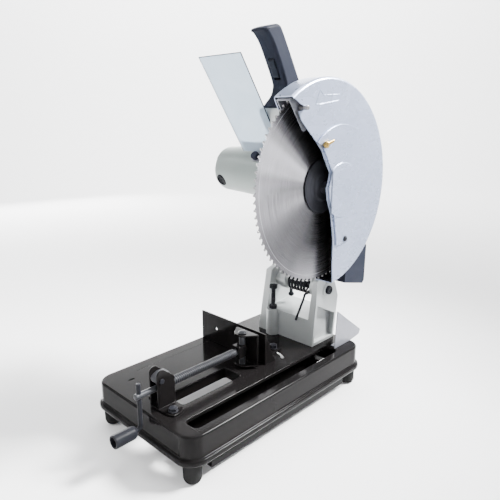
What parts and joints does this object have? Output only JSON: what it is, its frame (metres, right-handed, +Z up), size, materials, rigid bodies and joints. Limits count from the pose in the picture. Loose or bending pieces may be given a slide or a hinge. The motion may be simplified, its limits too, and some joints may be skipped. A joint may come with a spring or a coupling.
{
  "type": "metal chop saw",
  "caption": "Bench-top dry-cut metal chop saw: swing-down head with toothed blade, guards and motor on a pressed base with screw vise and swivel fence.",
  "frame": {"origin": "on the floor under the middle of the saw, feet at z = 0", "axes": "+X to the operator's right, +Z up, so the operator stands at -Y"},
  "size_m": [0.2812, 0.5983, 0.6995],
  "materials": {
    "gloss_black": "gloss",
    "silver_paint": "satin",
    "guard_paint": "satin",
    "motor_paint": "satin",
    "rubber": "matte",
    "black_steel": "satin",
    "dark_iron": "satin",
    "bare_steel": "brushed",
    "blade_steel": "brushed",
    "brass": "satin",
    "copper": "satin",
    "grip_plastic": "matte",
    "trigger_plastic": "satin",
    "clear_plastic": "clear",
    "zinc_sheet": "satin"
  },
  "bodies": {
    "root": {"base_pan": "gloss_black", "foot_front_left": "rubber", "foot_front_right": "rubber", "foot_rear_left": "rubber", "foot_rear_right": "rubber", "stand": "silver_paint", "deflector_plate": "zinc_sheet", "stop_bolt": "black_steel", "stop_nut": "black_steel", "pivot_shaft": "black_steel", "pivot_nut": "black_steel", "vise_bracket": "gloss_black", "bracket_bolt": "black_steel", "nut_pin": "black_steel", "torsion_spring": "black_steel", "fence_pivot_bolt": "black_steel"},
    "tray": {"chip_tray": "gloss_black"},
    "fence": {"fence": "gloss_black", "fence_lock_bolt": "black_steel"},
    "half_nut": {"half_nut": "dark_iron"},
    "carriage": {"jaw_block": "gloss_black", "jaw_pin": "dark_iron"},
    "jaw": {"jaw_face": "gloss_black"},
    "crank": {"vise_screw": "dark_iron", "crank_rod": "black_steel"},
    "knob": {"crank_knob": "black_steel"},
    "head": {"head_arm": "silver_paint", "rise_stop_bolt": "black_steel", "gear_case_cover": "silver_paint", "motor_housing": "motor_paint", "brush_cap_front": "black_steel", "brush_cap_rear": "black_steel", "stator": "copper", "motor_bearing_rear": "bare_steel", "motor_bearing_front": "bare_steel", "spindle_bearing": "bare_steel", "upper_guard": "guard_paint", "wing_screw": "brass", "cover_screw": "black_steel", "handle_left": "grip_plastic", "handle_right": "grip_plastic", "switch_block": "grip_plastic", "shield": "clear_plastic", "shield_bracket": "zinc_sheet", "rear_chute": "grip_plastic"},
    "arbor": {"spindle": "bare_steel", "output_gear": "bare_steel", "inner_flange": "black_steel", "blade": "blade_steel", "outer_flange": "black_steel", "arbor_bolt": "black_steel"},
    "armature": {"armature": "copper", "cooling_fan": "copper"},
    "idler": {"idler_gear": "bare_steel"},
    "lower_guard": {"lower_guard": "zinc_sheet", "guard_pin": "bare_steel"},
    "cover": {"guard_cover": "guard_paint"},
    "trigger": {"trigger": "trigger_plastic"},
    "lock_button": {"lock_button": "grip_plastic"},
    "shield_knob": {"shield_knob": "grip_plastic"}
  },
  "joints": [
    {"name": "tray_slide", "type": "slide", "parent": "root", "child": "tray", "axis": [1, 0, 0], "range_m": [0, 0.055]},
    {"name": "fence_swivel", "type": "hinge", "parent": "root", "child": "fence", "pos_m": [0.025, 0.036, 0.087], "axis": [0, 0, 1], "range_deg": [-45, 0]},
    {"name": "half_nut_flip", "type": "hinge", "parent": "root", "child": "half_nut", "pos_m": [0.024, -0.2086, 0.1384], "axis": [1, 0, 0], "range_deg": [0, 70]},
    {"name": "vise_slide", "type": "slide", "parent": "root", "child": "carriage", "axis": [0, -1, 0], "range_m": [0, 0.14]},
    {"name": "jaw_swivel", "type": "hinge", "parent": "carriage", "child": "jaw", "pos_m": [0.024, -0.012, 0.1225], "axis": [0, 0, 1], "range_deg": [-45, 45]},
    {"name": "crank_spin", "type": "hinge", "parent": "carriage", "child": "crank", "pos_m": [0.024, -0.245, 0.1225], "axis": [0, 1, 0], "range_deg": [0, 12600]},
    {"name": "knob_spin", "type": "hinge", "parent": "crank", "child": "knob", "pos_m": [0.024, -0.296, 0.0635], "axis": [0, 1, 0], "continuous": true},
    {"name": "head_pivot", "type": "hinge", "parent": "root", "child": "head", "pos_m": [0, 0.1825, 0.2068], "axis": [1, 0, 0], "range_deg": [0, 61], "stiffness_Nm_per_rad": 25, "springref_deg": -34.38},
    {"name": "blade_spin", "type": "hinge", "parent": "head", "child": "arbor", "pos_m": [0.10185, 0.1134, 0.429], "axis": [1, 0, 0], "continuous": true},
    {"name": "armature_spin", "type": "hinge", "parent": "head", "child": "armature", "pos_m": [0, 0.113, 0.446], "axis": [1, 0, 0], "continuous": true},
    {"name": "idler_spin", "type": "hinge", "parent": "head", "child": "idler", "pos_m": [0.04, 0.1508, 0.45909], "axis": [1, 0, 0], "continuous": true},
    {"name": "lower_guard_swing", "type": "hinge", "parent": "head", "child": "lower_guard", "pos_m": [0.088, 0.1134, 0.429], "axis": [1, 0, 0], "range_deg": [0, 138]},
    {"name": "cover_swing", "type": "hinge", "parent": "head", "child": "cover", "pos_m": [0.123, 0.164, 0.326], "axis": [1, 0, 0], "range_deg": [-80, 0]},
    {"name": "trigger_pull", "type": "hinge", "parent": "head", "child": "trigger", "pos_m": [0.045, 0.04478, 0.64736], "axis": [1, 0, 0], "range_deg": [0, 8], "stiffness_Nm_per_rad": 0.3, "springref_deg": -11.46},
    {"name": "lock_button_press", "type": "slide", "parent": "head", "child": "lock_button", "axis": [1, 0, 0], "range_m": [0, 0.003], "stiffness_N_per_m": 300, "springref_m": -0.002},
    {"name": "shield_knob_turn", "type": "hinge", "parent": "head", "child": "shield_knob", "pos_m": [-0.016, 0.113, 0.446], "axis": [0, -0.8161, 0.5779], "continuous": true}
  ],
  "couplings": [
    {"joint": "vise_slide", "follows": "crank_spin", "m_per_rad": 0.00063662},
    {"joint": "idler_spin", "follows": "blade_spin", "ratio": -3.8182},
    {"joint": "armature_spin", "follows": "blade_spin", "ratio": 17.818}
  ]
}
